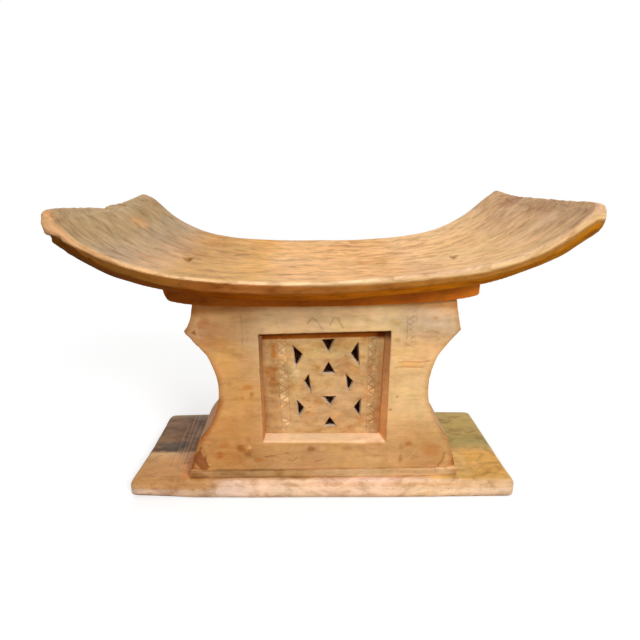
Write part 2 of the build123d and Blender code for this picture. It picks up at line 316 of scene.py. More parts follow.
class Tint:
    """Colour factor per vertex, built up patch by patch."""

    def __init__(self, p):
        self.p = p
        self.value = np.ones((len(p), 3))

    def mix(self, mask, colour):
        mask = np.clip(mask, 0, 1)[:, None]
        self.value *= 1 + mask * (np.asarray(colour) - 1)

    def mixes(self, mask, rows):
        """Several parts of a mask, each with its colour."""
        for part, colour in rows:
            self.mix(mask * part, colour)

    def patch(self, centre, radii, colour, strength, seed, grain=14.0):
        """A soft-edged stain, with an uneven outline."""
        rough = 0.6
        d = np.linalg.norm((self.p - np.asarray(centre)) / np.asarray(radii), axis=1)
        near = np.flatnonzero(d < 1.2 + rough)
        d = d[near] + rough * fractal(self.p[near], grain, seed)
        mask = (strength * ramp(d, 1.15, 0.45))[:, None]
        self.value[near] *= 1 + mask * (np.asarray(colour) - 1)

    def face_patches(self, y, depth, grain, rows):
        """Stains on an upright face at y, from rows of x, z, radii, colour, strength and seed."""
        for cx, cz, rx, rz, colour, strength, seed in rows:
            self.patch((cx, y, cz), (rx, depth, rz), colour, strength, seed, grain)


# ------------------------------------------------------------------ wood


def shader_nodes(name):
    material = bpy.data.materials.new(name)
    material.use_nodes = True
    tree = material.node_tree
    tree.nodes.clear()
    return material, tree


def add(tree, kind, inputs=(), **settings):
    """A node with its settings, and its inputs linked or set by name or number."""
    node = tree.nodes.new("ShaderNode" + kind)
    for key, value in settings.items():
        setattr(node, key, value)
    for key, value in dict(inputs).items():
        if isinstance(value, bpy.types.NodeSocket):
            tree.links.new(value, node.inputs[key])
        else:
            node.inputs[key].default_value = value
    return node


def reckon(tree, kind, operation, *values):
    """The result of a Math or VectorMath node."""
    return add(tree, kind, dict(enumerate(values)), operation=operation).outputs[0]


def remap(tree, value, low, high, first, last, **settings):
    """The value, mapped so that low gives first and high gives last."""
    return add(tree, "MapRange", {0: value, 1: low, 2: high, 3: first, 4: last},
               **settings).outputs[0]


def ramp_node(tree, factor, stops):
    node = add(tree, "ValToRGB", {0: factor})
    ends = node.color_ramp.elements
    for k, (place, colour) in enumerate(stops):
        stop = ends[k] if k < 2 else ends.new(place)
        stop.position = place
        stop.color = (*colour, 1)
    return node.outputs[0]


def mix_colour(tree, factor, a, b, blend="MIX"):
    node = add(tree, "Mix", data_type="RGBA", blend_type=blend)
    for socket, value in ((node.inputs[0], factor), (node.inputs[6], a), (node.inputs[7], b)):
        if isinstance(value, bpy.types.NodeSocket):
            tree.links.new(value, socket)
        else:
            socket.default_value = value if isinstance(value, (int, float)) else (*value, 1)
    return node.outputs[2]


PLAIN_WOOD = np.array((0.72, 0.42, 0.185))


def wood(name, roughness, ring, streak, fibre, seed, hue=1.0, contrast=1.0, sheen=0.20):
    """Old handled hardwood, its log lying along X: hues that drift from tan to orange, pink and
    olive, growth rings and streaks that come and go, fibres, dark specks and mottle."""
    material, tree = shader_nodes(name)
    place = add(tree, "Attribute", attribute_name="grain").outputs["Vector"]
    shifted = reckon(tree, "VectorMath", "ADD", place, (0.31 + seed, 0.045, 0.21))

    def stretched(factors):
        return reckon(tree, "VectorMath", "MULTIPLY", shifted, factors)

    def cloud(factors, detail, roughness=0.6, distortion=0.0):
        return add(tree, "TexNoise", {"Vector": stretched(factors), "Scale": 1.0,
                                      "Detail": detail, "Roughness": roughness,
                                      "Distortion": distortion}).outputs[0]

    def toned(colour, strength, factor, stops):
        return mix_colour(tree, strength, colour, ramp_node(tree, factor, stops), "MULTIPLY")

    def here_and_there(factors, most):
        return remap(tree, cloud(factors, 2.0), 0.40, 0.62, 0.0, most)

    colour = ramp_node(tree, cloud((7, 12, 10), 2.0),
                       [(0.34, PLAIN_WOOD + hue * np.array((0.03, -0.01, -0.025))),
                        (0.50, PLAIN_WOOD),
                        (0.66, PLAIN_WOOD + hue * np.array((-0.05, 0.01, 0.025)))])
    # patches that lean to olive or pink, and to grey or orange
    colour = toned(colour, 0.40 * hue, cloud((21, 29, 33), 3.0, 0.6, 0.5),
                   [(0.34, (0.97, 1.03, 0.76)), (0.50, (1, 1, 1)), (0.66, (1.04, 0.92, 1.02))])
    colour = toned(colour, 0.55 * hue, cloud((37, 51, 47), 4.0, 0.62, 0.4),
                   [(0.32, (0.78, 0.78, 0.84)), (0.46, (1, 1, 1)), (0.60, (1.03, 0.99, 0.94)),
                    (0.74, (1.06, 0.94, 0.80))])
    rings = add(tree, "TexWave", {"Vector": stretched((0.45, 1, 1)), "Scale": 27.0,
                                  "Distortion": 14.0, "Detail": 6.0, "Detail Scale": 0.9,
                                  "Detail Roughness": 0.7},
                wave_type="RINGS", rings_direction="X").outputs["Fac"]
    colour = toned(colour, here_and_there((13, 31, 31), ring), rings,
                   [(0.0, (0.78, 0.72, 0.64)), (0.5, (1, 1, 1)), (1.0, (1.05, 1.05, 1.04))])
    streaks = cloud((27, 190, 190), 4.0, 0.62)
    colour = toned(colour, here_and_there((23, 61, 61), streak), streaks,
                   [(0.30, (0.66, 0.58, 0.48)), (0.48, (0.98, 0.97, 0.96)),
                    (0.68, (1.12, 1.11, 1.10))])
    mottle = cloud((36, 66, 66), 5.0, 0.66, 0.6)
    colour = toned(colour, 1.0, mottle,
                   [(0.5 + off / contrast, shade) for off, shade in (
                       (-0.18, (0.74, 0.67, 0.58)), (-0.05, (0.95, 0.94, 0.92)),
                       (0.05, (1.03, 1.03, 1.03)), (0.20, (1.16, 1.16, 1.17)))])
    colour = toned(colour, min(1.0, 0.8 * contrast), cloud((15, 23, 21), 4.0, 0.6, 0.8),
                   [(0.30, (0.76, 0.66, 0.54)), (0.44, (1, 1, 1)), (0.70, (1.07, 1.08, 1.10))])
    fibres = cloud((70, 900, 900), 3.0, 0.55)
    colour = toned(colour, fibre, fibres, [(0.28, (0.74, 0.66, 0.58)), (0.46, (0.99, 0.99, 0.99)),
                                           (0.75, (1.05, 1.05, 1.05))])
    colour = toned(colour, 0.5 * contrast, cloud((190, 430, 430), 1.0, 0.5),
                   [(0.23, (0.50, 0.40, 0.30)), (0.31, (1, 1, 1)), (0.72, (1, 1, 1)),
                    (0.80, (1.30, 1.32, 1.36))])
    tint = add(tree, "Attribute", attribute_name="tint").outputs["Color"]
    colour = mix_colour(tree, 1.0, colour, tint, "MULTIPLY")
    # dark places are dull too
    green = add(tree, "SeparateColor", {0: tint}).outputs[1]
    gloss = remap(tree, green, 0.1, 0.6, 0.02, sheen)
    # darker in hollows and creases, and lighter along convex edges, as wear with a painted highlight
    edge = add(tree, "NewGeometry").outputs["Pointiness"]
    colour = toned(colour, 0.8, edge, [(0.43, (0.60, 0.50, 0.42)), (0.49, (1, 1, 1)),
                                       (0.52, (1, 1, 1)), (0.60, (1.25, 1.22, 1.2))])

    rough = remap(tree, mottle, 0.3, 0.7, roughness - 0.04, roughness + 0.05)
    height = reckon(tree, "Math", "MULTIPLY_ADD", mottle, 0.4, fibres)
    bump = add(tree, "Bump", {"Height": height, "Strength": 0.30, "Distance": 0.0006}).outputs[0]
    surface = add(tree, "BsdfPrincipled", {"Base Color": colour, "Roughness": rough,
                                           "Specular IOR Level": gloss, "Normal": bump})
    add(tree, "OutputMaterial", {0: surface.outputs[0]})
    return material


# roughness, rings, streaks, fibres and place in the log, and for some also hue, contrast and sheen
LOOKS = {
    "seat": (0.58, 0.5, 0.65, 0.4, 0.0, 0.45, 1.3, 0.02),
    "seat_cleat": (0.62, 0.3, 0.4, 0.4, 0.2),
    "support": (0.56, 0.3, 0.3, 0.3, 0.4, 0.8, 0.65),
    "front_panel": (0.60, 0.3, 0.3, 0.3, 0.6, 0.6),
    "back_panel": (0.60, 0.3, 0.3, 0.3, 0.8),
    "plinth": (0.60, 0.3, 0.4, 0.4, 1.0),
    "base": (0.55, 0.35, 0.5, 0.4, 1.2, 0.6, 1.25),
}


def finish_piece(node, slot, piece, tint, grain=None):
    paint(piece, tint, points_of(piece) if grain is None else grain)
    piece.data.materials.append(wood(slot, *LOOKS[node]))
    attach(piece, "root")
    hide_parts(node)


# ------------------------------------------------------------------ seat

PITS = ([(-176.5, -24), (-166, -6.5), (-164, -46)], [(158.5, -23), (170.5, -34), (157, -56.5)])
# stains and worn places of the seat: centre, radii, colour factors, strength and seed
SEAT_PATCHES = (
    ((-172, 60, 302), (60, 60, 40), (0.80, 0.76, 0.72), 0.6, 23),
    ((-245, 36, 344), (10, 28, 16), (1.38, 1.17, 1.0), 0.9, 24),
    ((-250, 60, 346), (14, 26, 22), (0.86, 0.80, 0.70), 0.6, 25),
    ((-115, 50, 297), (42, 12, 30), (0.78, 0.72, 0.62), 0.7, 27),
    ((-108, -46, 296), (10, 12, 20), (1.18, 1.18, 1.20), 0.6, 28),
    ((-150, 100, 305), (24, 26, 30), (1.0, 0.86, 0.72), 0.6, 29),
    ((88, 8, 293), (24, 8, 20), (0.82, 0.72, 0.62), 0.6, 30),
    ((114, -40, 296), (9, 8, 20), (0.80, 0.70, 0.60), 0.5, 31),
    ((268, -30, 363), (14, 32, 22), (0.84, 0.76, 0.80), 0.7, 32),
    ((272, 74, 364), (12, 30, 22), (0.78, 0.70, 0.72), 0.7, 33),
    ((-78, 126, 299), (50, 18, 30), (1.04, 0.93, 0.80), 0.6, 34),
    ((-30, -60, 292), (60, 30, 20), (1.03, 0.94, 0.86), 0.5, 35),
    ((40, 60, 291), (70, 30, 20), (1.05, 1.04, 1.0), 0.6, 36),
    ((268, -140, 372), (9, 12, 8), (1.25, 1.25, 1.35), 0.9, 26),
    ((-90, 30, 294), (34, 9, 20), (0.84, 0.78, 0.70), 0.7, 27),
    ((-60, 90, 296), (40, 12, 20), (0.88, 0.82, 0.74), 0.6, 40),
    ((10, 100, 296), (46, 10, 20), (0.88, 0.82, 0.72), 0.6, 41),
    ((60, 40, 292), (30, 8, 20), (0.88, 0.80, 0.72), 0.6, 42),
    ((-10, -20, 292), (50, 8, 20), (0.92, 0.86, 0.80), 0.6, 43),
    ((120, 70, 299), (30, 10, 20), (0.86, 0.80, 0.74), 0.6, 44),
    ((-130, -90, 299), (30, 10, 20), (0.90, 0.84, 0.76), 0.6, 45),
    ((200, 20, 318), (14, 40, 26), (0.90, 0.84, 0.80), 0.6, 46),
    ((-222, -60, 322), (16, 50, 26), (1.10, 1.08, 1.04), 0.6, 47),
    ((-205, 40, 316), (14, 40, 26), (0.90, 0.88, 0.84), 0.6, 48),
)


def make_seat():
    piece, p, _ = begin("seat", 1.5, 2)
    p = shared_warp(p)
    set_points(piece, p)
    n = normals_of(piece)
    x, y, z = p.T
    across = np.abs(y)
    drop = rim_height(x) + rim_lift(x, y) - z
    upper = ramp(n[:, 2], 0.25, 0.55)
    lower = ramp(n[:, 2], -0.25, -0.55)
    # long shallow tool marks, and a rougher underside
    push = 0.30 * fractal(p, (60, 22, 40), 11) * upper
    push += 0.7 * fractal(p, (34, 16, 24), 12) * lower
    push += 0.35 * fractal(p, (28, 28, 14), 13) * (1 - upper) * (1 - lower)
    push += 0.10 * fractal(p, 5, 14)
    # uneven rim, nicked along its outer corner
    nick = ramp(fractal(p, (11, 9, 9), 15), 0.35, 0.75)
    outer_rim = ramp(across, 139, 147) * ramp(drop, 9, 2)
    push -= outer_rim * (0.5 * nick + 0.35 * (0.5 + fractal(p, (30, 20, 20), 16)))
    tint = Tint(p)
    # two three-cornered pits in the dish, their floors painted darker as shade
    for pit in PITS:
        push -= 4.0 * in_triangles(x, y, [pit], -0.8, 1.1) * upper
        tint.mix(0.9 * in_triangles(x, y, [pit], 0.2, 0.8) * upper, (0.56, 0.54, 0.52))
    # ragged upper edge of the left end
    left_top = ramp(x, -262, -271) * ramp(drop, 5, 1.5)
    saw = fractal(p * [0, 1, 0] + [5, 0, 9], (13, 13, 13), 17)
    q = p + n * push[:, None]
    qx, _, qz = q.T     # views: what is added to them moves q
    qz -= left_top * 0.7 * ramp(saw, 0.0, 0.5)
    qz += ramp(x, -262, -271) * ramp(drop, 9, 3) * (1.8 * ramp(y, 11, 16) - 0.9)
    # the ends: their top edges, the left tip's rounder corner and the thicker undersides
    top_side = ramp(drop, 16, 6)
    qz += top_side * (ramp(x, -215, -268) * LEFT_EDGE(y) + ramp(x, 205, 262) * RIGHT_EDGE(y))
    qz -= 0.8 * ramp(x, -270, -281) * ramp(y, -135, -149) * top_side
    qz -= top_side * NEAR_WORN(x) * ramp(y, -75, -HALF_DEPTH)
    qz += NEAR_UNDER(x) * ramp(drop, 10, 24) * ramp(y, 40, -120)
    qx += 3.0 * ramp(x, 255, 276) * ramp(z, 380, 352)
    qx -= 2.0 * ramp(x, -262, -276) * ramp(z, 376, 350)
    qz -= 1.2 * ramp(across, 145, HALF_DEPTH) * ramp(drop, 8, 1)
    # the near tips: the left one's lobe with the chip under it, and the fuller right one; then a
    # notch in the underside of the left end
    near = ramp(y, -122, -136)
    qx -= 5.0 * span(qz, 346, 349.5, 356, 364) * ramp(x, -260, -268) * near
    chip = ramp(x, -262, -268) * ramp(qz, 348.0, 345.5) * near
    qx += (3.4 + 0.6 * fractal(p, 6, 18)) * chip * (1 - 0.6 * ramp(qz, 343, 339))
    qz += 0.8 * chip
    qx += 3.2 * ramp(x, 255, 270) * span(qz, 346, 354, 365, 373) * near
    qz += 1.6 * ramp(np.hypot(x + 237, z - 322) / 4 + np.maximum(y + 135, 0) / 8, 1.1, 0.4)
    # stay inside the CAD box
    limit = np.array((HALF_LENGTH - 0.05, HALF_DEPTH - 0.05, TOP))
    np.clip(q, -limit, limit, out=q)
    set_points(piece, q)

    grain = fractal(p, (40, 9, 12), 21)
    cloud = fractal(p, (60, 34, 40), 22)
    # greyed, handled wood where the seat turns up
    left = ramp(x + 26 * cloud - 0.10 * y, -168, -222)
    right = ramp(x + 30 * cloud, 196, 262)
    far_right = ramp(z + 10 * cloud, 340, 366) * ramp(x, 200, 230)
    # the edge's face with its bevel, and the rubbed line of the rim above it, with its painted
    # highlight
    skirt = np.maximum(ramp(across, 144.5, 146.5) * ramp(drop, 0.8, 1.9),
                       ramp(drop, 7, 9) * ramp(across, 90, 120)) * ramp(np.abs(n[:, 1]), 0.15, 0.35)
    skirt = np.maximum(skirt, ramp(x, -266, -270) * ramp(y, -136, -142))
    rim = ramp(across, 144, 146) * ramp(drop, 2.2, 0.8) * (1 - skirt)
    upper = upper * (1 - skirt) * (1 - rim)
    tint.mixes(upper, (
        (1, (1.19, 1.31, 1.70)),
        (left * (0.85 + 0.25 * grain), (0.62, 0.74, 0.86)),
        (ramp(x + 20 * cloud, -60, -150) * (0.9 + 0.2 * grain), (0.84, 0.78, 0.68)),
        (span(x + 15 * cloud, -190, -160, -90, -45), (0.92, 0.85, 0.58)),
        (ramp(x, -228, -250), (0.99, 0.98, 0.88)),
        (ramp(np.abs(x + 15 * cloud), 120, 80), (1.02, 0.95, 0.78)),
        (right * (0.62 + 0.35 * grain), (0.76, 0.78, 0.93)),
        (far_right * (0.55 + 0.3 * grain), (0.80, 0.78, 0.80)),
        (ramp(x + 20 * cloud, 90, 150), (1.07, 1.06, 0.93)),
        (ramp(-y, 95, 135), (0.95, 0.95, 0.95)),
        (ramp(np.abs(x - 50 + 20 * cloud), 190, 60), (1.06, 1.03, 1.0)),
    ))
    for row in SEAT_PATCHES:
        tint.patch(*row, grain=(20, 8, 12))
    # painted highlight along the rubbed rim
    tint.mix(rim, graded(x, EDGE_RIM_HIGHLIGHT) * (1 + 0.10 * grain[:, None]))
    # the edge: a pale band, a darker face and the bevel in painted shade
    places, depths = zip(*EDGE_BAND)
    band = np.interp(x, places, depths) + 0.5 * fractal(p, (16, 16, 16), 37)
    dark = ramp(drop, band - 1.4, band + 2.0)
    tip = ramp(x, -230, -238)
    dark = dark * (1 - tip) + tip * ramp(qz - (340 - 0.467 * (x + 257.2)), 1.2, -1.8)
    dark = dark[:, None]
    tint.mix(skirt, (1.06, 1.09, 1.14))
    bevel = ramp(drop, 11.5, 14.5)[:, None]
    shaded = graded(x, EDGE_FACE) * (1 - bevel) + graded(x, EDGE_BEVEL_SHADE) * bevel
    tint.mix(skirt, graded(x, EDGE_PALE) * (1 - dark) + shaded * dark)
    # painted shade on the seat's underside, and browner still under the left tip
    below = (1 - skirt) * ramp(n[:, 2], 0.3, -0.1)
    tint.mix(below * ramp(drop, 4, 12), (0.62, 0.48, 0.32))
    tint.mix(below * ramp(qz, 347, 344) * ramp(y, -110, -125) * ramp(x, -255, -262),
             (0.50, 0.34, 0.12))
    return piece, tint.value, np.stack([arc_length(x), y, -2.0 * drop], axis=1)


# ------------------------------------------------------------------ cleat


def make_cleat():
    piece, p, n = begin("seat_cleat", 1.3, 2)
    push = 0.5 * fractal(p, (26, 16, 14), 31) + 0.15 * fractal(p, 6, 32)
    q = p + n * push[:, None]
    # the left end leans out at its top
    x, y, z = p.T
    drop = rim_height(x) - z
    q[:, 0] -= 5.0 * ramp(x, -165, -176) * ramp(drop, 46, 32)
    set_points(piece, shared_warp(q))
    tint = Tint(p)
    # a dark stain all over, with painted shade under the seat's overhang on the front face and along
    # the top; lighter to the right, darker at the left end, lighter at the right front
    tint.mix(0.55 + 0.45 * ramp(y, -50, -84), (0.67, 0.29, 0.032))
    tint.mix(ramp(x, 0, 90), (1.25, 1.32, 1.3))
    tint.mix(ramp(drop, 36, 24), (0.90, 0.80, 0.70))
    tint.mix(ramp(x, -100, -160), (0.72, 0.70, 0.90))
    tint.mix(ramp(x, 120, 178) * ramp(y, -80, -94), (1.35, 1.35, 1.35))
    return piece, tint.value


# ------------------------------------------------------------------ support

FRONT = -84.5                    # the support's front face
WINDOW = (79.3, 75.9, 222.9)     # half width, foot and head at the face
PANEL_FACE = -73.5
HOLLOW = (92.6, 63, 13, 241.5)   # half width, half depth, bottom and top
# lines and marks in the support's front, as (x, z) points
SKETCH = ([(-19.5, 234.5), (-14.6, 240.6), (-9, 237), (-2.4, 227.2)],
          [(6.8, 232), (10.4, 238), (13.9, 241.2), (17.2, 236.6), (22.5, 228)],
          [(9, 240.5), (18, 240)])
# depth, left, right, foot, head, pitch and half width
ZIGZAGS = ((0.7, 101, 108.5, 203, 249, 3.4, 1.1), (0.4, -98, -92, 212, 242, 3.6, 1.0),
           (0.5, -99, -93, 56, 82, 4.0, 1.0), (0.5, 98.2, 104.2, 42, 75, 3.8, 1.1))
# depth, x, half width, and the heights between which each fades in and out
UPRIGHTS = ((0.7, 99.3, 1.1, 199, 204, 249, 253), (0.5, 110.2, 1.1, 203, 207, 248, 252),
            (0.5, -98.2, 1.2, 206, 210, 246, 250), (0.4, -91.8, 1.2, 212, 216, 240, 246))
TOOL_LINES = ([(91, 183.5), (100, 185), (118, 183.5), (129, 185.5)],
              [(86, 177), (99, 178), (121, 177)])
CRACKS = ((1.0, [(-76, 54.3), (-60, 57), (-46, 59.8)]),
          (0.9, [(-46, 49.2), (-40, 48), (-34.5, 53)]), (0.8, [(-12, 47), (0, 50)]))
SCRATCH = [(110.6, 49.8), (116.1, 57.7), (121, 66), (123, 76)]
BRUISE = [[(-155.6, 223.6), (-151.6, 228.0), (-147, 220)]]
LEFT_TOE = [[(-158.4, 68), (-182, 33), (-150, 36)]]
LEFT_TOE_EDGE = [(-157.4, 68), (-152.6, 58.2), (-153.2, 49.4), (-149.8, 41)]
RIGHT_TOE = [[(148, 36), (157, 62), (176, 35)], [(157, 62), (156, 80), (166, 58)]]
RIGHT_TOE_EDGE = [(149.2, 38), (154.7, 46), (157, 56)]
# stains of its front: x, z, radii, colour factors, strength and seed
SUPPORT_PATCHES = (
    (-142, 238, 9, 9, (0.86, 0.64, 0.54), 0.8, 61),
    (-128, 230, 16, 14, (0.90, 0.78, 0.72), 0.6, 62),
    (-130, 212, 18, 10, (0.95, 0.80, 0.62), 0.7, 55),
    (-118, 201, 12, 5, (0.84, 0.74, 0.56), 0.6, 56),
    (-94.2, 151.8, 6.5, 4, (0.86, 0.62, 0.34), 0.8, 63),
    (-90, 142.5, 3.6, 4.6, (0.70, 0.48, 0.30), 0.8, 64),
    (-101.5, 138, 3, 2.4, (0.84, 0.62, 0.46), 0.7, 54),
    (-105.5, 67, 6.5, 6.5, (0.74, 0.48, 0.36), 0.8, 65),
    (-98, 60.4, 6, 4.5, (0.78, 0.56, 0.48), 0.7, 57),
    (-95.4, 70, 2.4, 4.0, (1.40, 1.48, 1.62), 0.9, 58),
    (-99, 63.5, 1.8, 1.8, (1.35, 1.42, 1.55), 0.8, 59),
    (-96, 81, 4, 5, (0.88, 0.70, 0.58), 0.6, 60),
    (-85.7, 49.7, 7, 3.6, (0.94, 0.68, 0.40), 0.8, 66),
    (-128, 72, 9, 5, (0.88, 0.66, 0.48), 0.7, 77),
    (-134, 58.3, 8, 7, (0.82, 0.60, 0.42), 0.8, 79),
    (-118, 52, 22, 12, (0.94, 0.82, 0.72), 0.7, 80),
    (-152.5, 84.5, 4, 2, (1.40, 1.28, 1.18), 0.9, 81),
    (-149, 76.7, 7, 1.8, (1.24, 1.22, 1.20), 0.8, 82),
    (-128, 101, 20, 16, (0.96, 0.86, 0.76), 0.6, 83),
    (85.8, 234, 9, 6, (0.84, 0.76, 0.50), 0.7, 67),
    (87.9, 212.4, 6, 4, (0.78, 0.74, 0.46), 0.8, 68),
    (94, 197, 17, 8, (1.06, 1.10, 1.00), 0.7, 84),
    (129, 223, 12, 3.4, (0.76, 0.72, 0.58), 0.8, 69),
    (118, 229, 6, 6, (0.84, 0.80, 0.66), 0.6, 85),
    (132.8, 241.5, 4.4, 3.6, (0.88, 0.68, 0.50), 0.8, 86),
    (130, 232, 16, 14, (1.04, 1.06, 1.06), 0.7, 87),
    (104, 181, 17, 4, (1.0, 0.84, 0.58), 0.7, 76),
    (91.3, 137.3, 2.4, 2.0, (0.76, 0.46, 0.28), 0.9, 88),
    (82.4, 120, 1.8, 1.8, (0.50, 0.38, 0.28), 0.9, 89),
    (109, 71.5, 6, 4.6, (0.80, 0.54, 0.40), 0.8, 70),
    (99.5, 66, 4, 5, (0.88, 0.70, 0.60), 0.7, 71),
    (99.2, 49.4, 3, 7, (0.76, 0.56, 0.44), 0.7, 90),
    (140, 62, 14, 11, (0.92, 0.74, 0.60), 0.8, 78),
    (157.9, 80.5, 2.6, 2.2, (1.30, 1.22, 1.15), 0.8, 91),
    (30, 66, 9, 7, (0.80, 0.62, 0.48), 0.7, 72),
    (-16, 66, 6, 5, (0.68, 0.48, 0.40), 0.8, 73),
    (-2, 68, 7, 4, (1.22, 1.22, 1.22), 0.7, 74),
    (93, 160, 26, 40, (1.10, 1.12, 1.10), 0.6, 75),
    (66, 75, 12, 3, (0.60, 0.46, 0.42), 0.6, 92),
)


def window_warp(p):
    """The front window: its head slopes and its reveals differ in splay."""
    x, y, z = p.T
    half, foot, head = WINDOW
    t = np.clip((y - FRONT) / (PANEL_FACE - FRONT), 0, 1)
    down = np.clip((head - z) / (head - foot), 0, 1)
    front = ramp(y, -72.2, -73.2)
    near_x = ramp(np.abs(np.abs(x) - half + 2), 16, 7)
    near_head = ramp(np.abs(z - head + 2), 16, 7)
    near_foot = ramp(np.abs(z - foot - 2), 16, 7)
    inside_z = ramp(z, foot - 14, foot - 2) * ramp(z, head + 14, head + 2)
    inside_x = ramp(np.abs(x), half + 14, half + 2)
    right = (1 - t) * (1.9 - 0.9 * down) - t * (0.8 + 3.3 * down)
    left = (1 - t) * (1.4 * down - 0.2)
    q = p.copy()
    q[:, 0] += front * near_x * inside_z * np.where(x > 0, right, left)
    q[:, 2] += front * near_head * inside_x * 1.6 * x / half
    q[:, 2] += front * near_foot * inside_x * (2.6 * t - 1.3 * (1 - t) - 0.9 * x / half)
    return q


def zigzag(x, z, left, right, low, high, pitch, width):
    """A carved zigzag between two upright lines."""
    count = max(2, round((high - low) / pitch))
    rows = np.linspace(high, low, count + 1)
    points = [(left if k % 2 else right, row) for k, row in enumerate(rows)]
    return vee(to_lines(x, z, points), width)


def make_support():
    piece, p, n = begin("support", 1.15, 1)
    x, y, z = p.T
    wide, deep, bottom, top = HOLLOW
    inside = (np.abs(x) < wide) & (np.abs(y) < deep) & (z > bottom) & (z < top)
    outer = np.where(inside, 0.0, 1.0)
    face = ramp(n[:, 1], -0.6, -0.9) * ramp(y, -82.5, -84)
    back = ramp(n[:, 1], 0.6, 0.9) * ramp(y, 82.5, 84)
    push = outer * (0.30 * fractal(p, (46, 40, 18), 41) + 0.10 * fractal(p, (7, 6, 4), 42))
    push += (1 - outer) * 0.9 * fractal(p, (20, 20, 26), 43)
    # chipped arrises at the scallops and the foot
    arris = ramp(np.abs(y), 82.2, 84) * (1 - np.maximum(face, back)) * outer
    push -= arris * 1.2 * ramp(fractal(p, (8, 8, 8), 44), 0.15, 0.6)
    tint = Tint(p)

    # carving on the front
    wx = x + 0.9 * fractal(p, (16, 16, 9), 45)
    cut = np.maximum.reduce(
        [0.8 * cuts(x, z, 1.5, *SKETCH)]
        + [depth * zigzag(wx, z, *place) for depth, *place in ZIGZAGS]
        + [depth * vee(np.abs(wx - at), half) * span(z, *ends)
           for depth, at, half, *ends in UPRIGHTS])
    gap = np.maximum(ramp(noise(p, (6, 6, 4), 46), -0.5, 0.4), 0.9 * ramp(np.abs(x), 40, 30))
    cut = cut * gap * face
    push -= 0.75 * cut
    # two short level tool lines, a scratch and a few cracks
    line = cuts(x, z, 1.3, *TOOL_LINES)
    crack = np.maximum.reduce([cuts(x, z, half, path) for half, path in CRACKS])
    scratch = cuts(x, z, 1.3, SCRATCH)
    push -= face * (0.4 * line + 0.7 * crack + 0.4 * scratch)
    # a three-cornered bruise at the left shoulder, and the facets of the two front toes
    bruise = in_triangles(x, z, BRUISE, 0.0) * face
    ring = in_triangles(x, z, BRUISE, 2.4) * face - bruise
    wavy = x + 1.6 * fractal(p, (9, 9, 9), 48)
    left_toe = in_triangles(wavy, z, LEFT_TOE, 0.0, 1.2) * face
    left_line = cuts(wavy, z, 2.8, LEFT_TOE_EDGE) * face
    right_toe = in_triangles(x, z, RIGHT_TOE, 0.0) * face
    right_line = cuts(wavy, z, 3.0, RIGHT_TOE_EDGE) * face
    push -= 0.4 * bruise + 0.5 * left_toe + 1.0 * left_line + 0.5 * right_toe + 0.8 * right_line

    q = window_warp(p + n * push[:, None])
    qx = q[:, 0]        # a view of q, as for the seat
    # on the left a narrower head and a wider neck, and the far toes cut back
    qx += 2.0 * ramp(x, -120, -150) * ramp(z, 226, 252)
    qx -= 1.4 * ramp(x, -110, -135) * span(z, 150, 190, 200, 228)
    far_toe = ramp(y, 0, 84) * span(z, 40, 62, 82, 112)
    qx += far_toe * (12.0 * ramp(x, -120, -150) - 3.5 * ramp(x, 120, 150))
    # the scallops start lower, from a short straight stretch
    near = ramp(y, 60, -40)
    qx -= 4.6 * near * ramp(x, -125, -150) * span(z, 190, 214, 221, 232)
    qx += 2.2 * near * ramp(x, 125, 150) * span(z, 186, 210, 219, 230)
    set_points(piece, shared_warp(q))

    cloud = fractal(p, (55, 50, 45), 51)
    streak = fractal(p, (70, 30, 7), 52)
    upright = fractal(p, (7, 30, 60), 53)
    # pale and greyish at the top, warmer and darker lower down
    tint.mixes(outer, (
        (ramp(z + 12 * cloud, 190, 236), (1.00, 1.16, 1.35)),
        (ramp(z + 16 * cloud, 120, 60), (0.83, 0.79, 0.75)),
        (ramp(x + 22 * cloud, -20, 120), (1.24, 1.26, 1.22)),
        (ramp(x + 22 * cloud, 60, 100) * ramp(z + 12 * cloud, 190, 225), (0.75, 0.75, 0.88)),
        (ramp(x + 18 * cloud, -60, -110), (0.97, 0.83, 0.62)),
        (ramp(x + 12 * cloud, -60, -100) * ramp(z, 190, 225), (0.755, 0.75, 0.865)),
        (ramp(x + 12 * cloud, 60, 120) * ramp(z + 14 * cloud, 120, 70), (0.83, 0.76, 0.68)),
    ))
    # on the front: painted light over the top strip and painted shade right under the cleat, then
    # streaks and upright grain
    tint.mixes(face, (
        (ramp(z, 238, 247), (1.20, 1.17, 1.12)),
        (ramp(z, 249, 258), (0.80, 0.60, 0.36)),
        (0.35 * ramp(streak, 0.1, 0.5), (0.86, 0.82, 0.76)),
        (0.35 * ramp(upright, 0.05, 0.45), (0.90, 0.87, 0.88)),
        (0.35 * ramp(-upright, 0.05, 0.45), (1.06, 1.06, 1.02)),
    ))
    # rubbed arrises of the scallops, reddish and dark at the lower left
    past = np.abs(x) - scallop(z)
    tint.mix(face * ramp(past, -9, -1) * (0.75 + 0.25 * cloud), (0.74, 0.60, 0.46))
    low = ramp(x, -110, -125) * span(z, 70, 84, 128, 146)
    tint.mix(face * low * ramp(past + 3 * cloud, -12, -3), (0.78, 0.56, 0.44))
    flank = outer * (1 - face) * ramp(y, 70, -80) * ramp(past, -6, -2)
    corner = flank * ramp(np.abs(n[:, 0]), 0.93, 0.8)
    flank = flank * ramp(np.abs(n[:, 0]), 0.8, 0.93)
    tint.mix(corner * ramp(y, -74, -80), (0.66, 0.46, 0.32))
    tint.mix(flank * ramp(x, 0, -60), (0.80, 0.40, 0.15))
    tint.mix(flank * ramp(x, 0, 60), (0.96, 0.80, 0.36))
